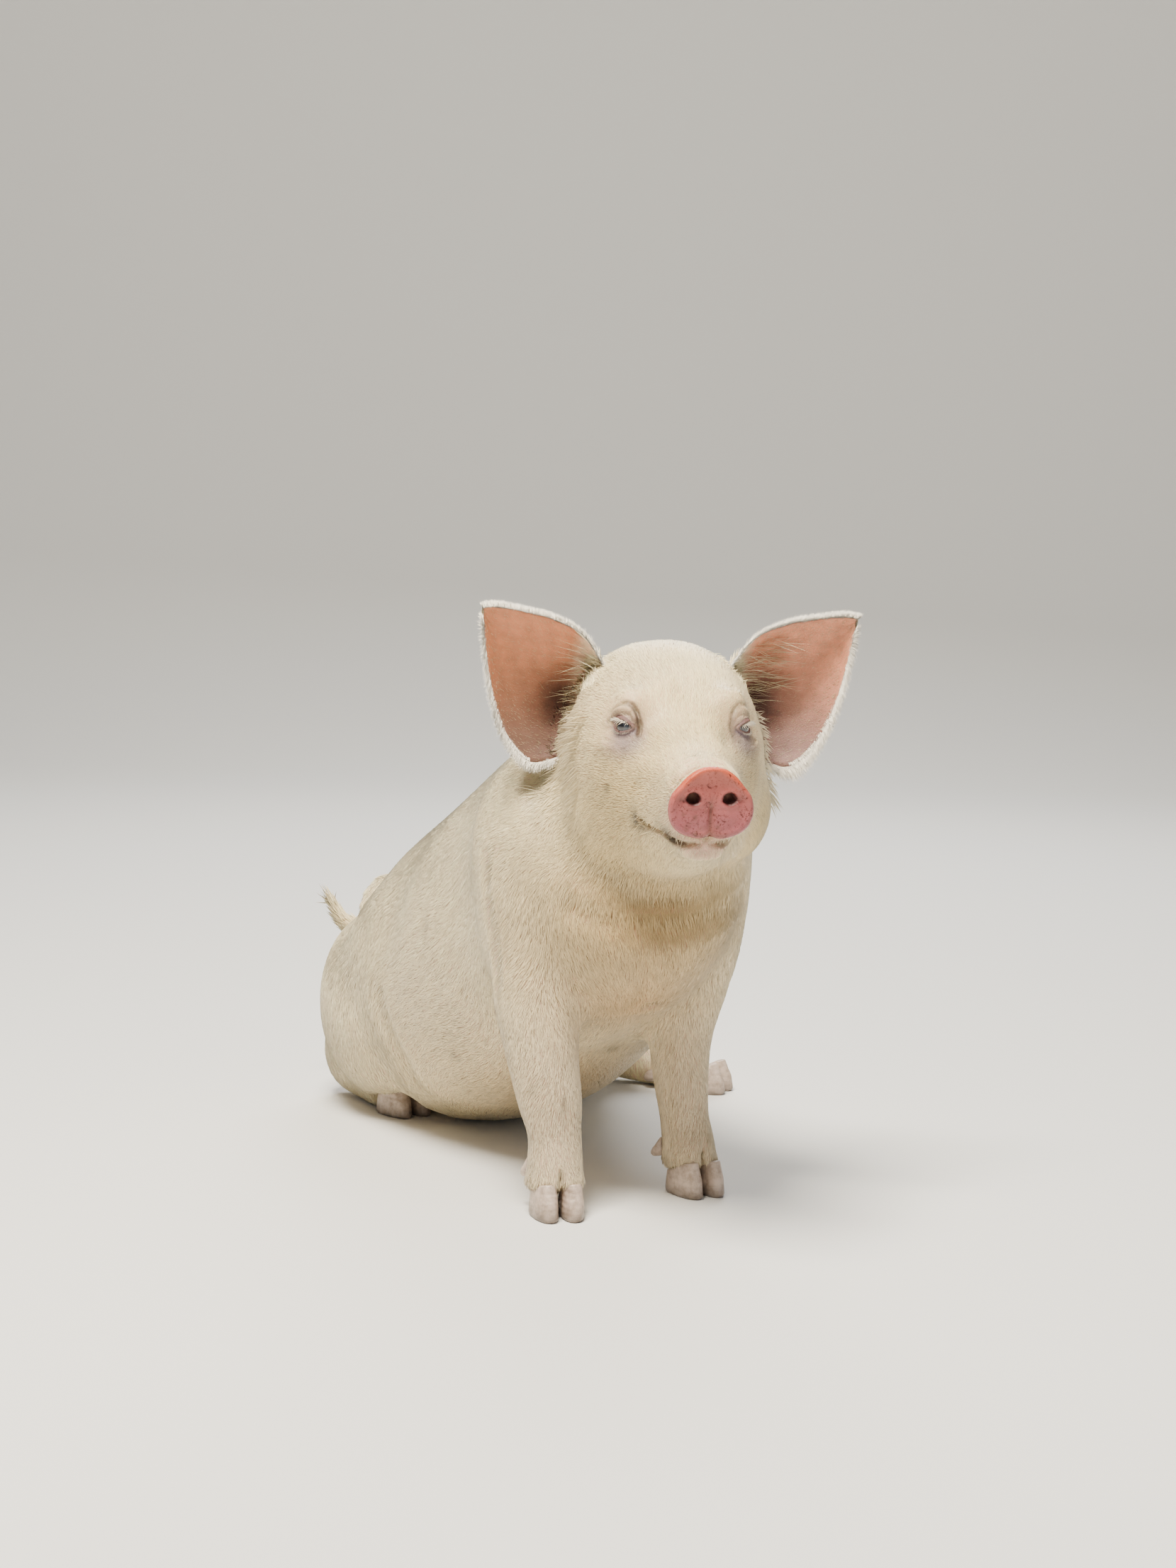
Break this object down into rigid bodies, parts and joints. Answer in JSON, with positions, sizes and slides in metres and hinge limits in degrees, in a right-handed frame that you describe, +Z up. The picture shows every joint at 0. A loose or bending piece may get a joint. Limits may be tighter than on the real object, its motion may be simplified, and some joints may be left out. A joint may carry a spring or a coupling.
{
  "type": "sitting young pig",
  "caption": "Life-size still model of a young cream-white pig sitting on its haunches like a dog, ears up and spread, head turned a little aside.",
  "frame": {"origin": "on the floor, at the centre of the bounding box seen from above", "axes": "+Z up, the head towards -Y and the tail towards +Y, the animal's left side at +X"},
  "size_m": [0.3942, 0.7098, 0.4776],
  "materials": {
    "hide": "living skin under a short flat cream-white coat, pale pink showing through",
    "ear": "thin living skin, pink inside the cup, fringed with pale hair",
    "snout": "bare damp pink skin with fine pores and specks of mud",
    "horn": "dull pinkish horn with a little dirt",
    "eye": "wet and glossy, dark iris"
  },
  "bodies": {
    "root": {"belly": "hide", "chest": "hide", "dewclaw_fore_left_inner": "horn", "dewclaw_fore_left_outer": "horn", "dewclaw_fore_right_inner": "horn", "dewclaw_fore_right_outer": "horn", "dewclaw_hind_left_inner": "horn", "dewclaw_hind_left_outer": "horn", "ear_left": "ear", "ear_right": "ear", "eye_left": "eye", "eye_right": "eye", "foreleg_lower_left": "hide", "foreleg_lower_right": "hide", "foreleg_upper_left": "hide", "foreleg_upper_right": "hide", "head": "hide", "hindfoot_left": "hide", "hindfoot_right": "hide", "hock_left": "hide", "hock_right": "hide", "hoof_fore_left_inner": "horn", "hoof_fore_left_outer": "horn", "hoof_fore_right_inner": "horn", "hoof_fore_right_outer": "horn", "hoof_hind_left_inner": "horn", "hoof_hind_left_outer": "horn", "hoof_hind_right_inner": "horn", "hoof_hind_right_outer": "horn", "lower_jaw": "hide", "neck": "hide", "rump": "hide", "snout": "snout", "tail": "hide", "thigh_left": "hide", "thigh_right": "hide"}
  },
  "joints": []
}
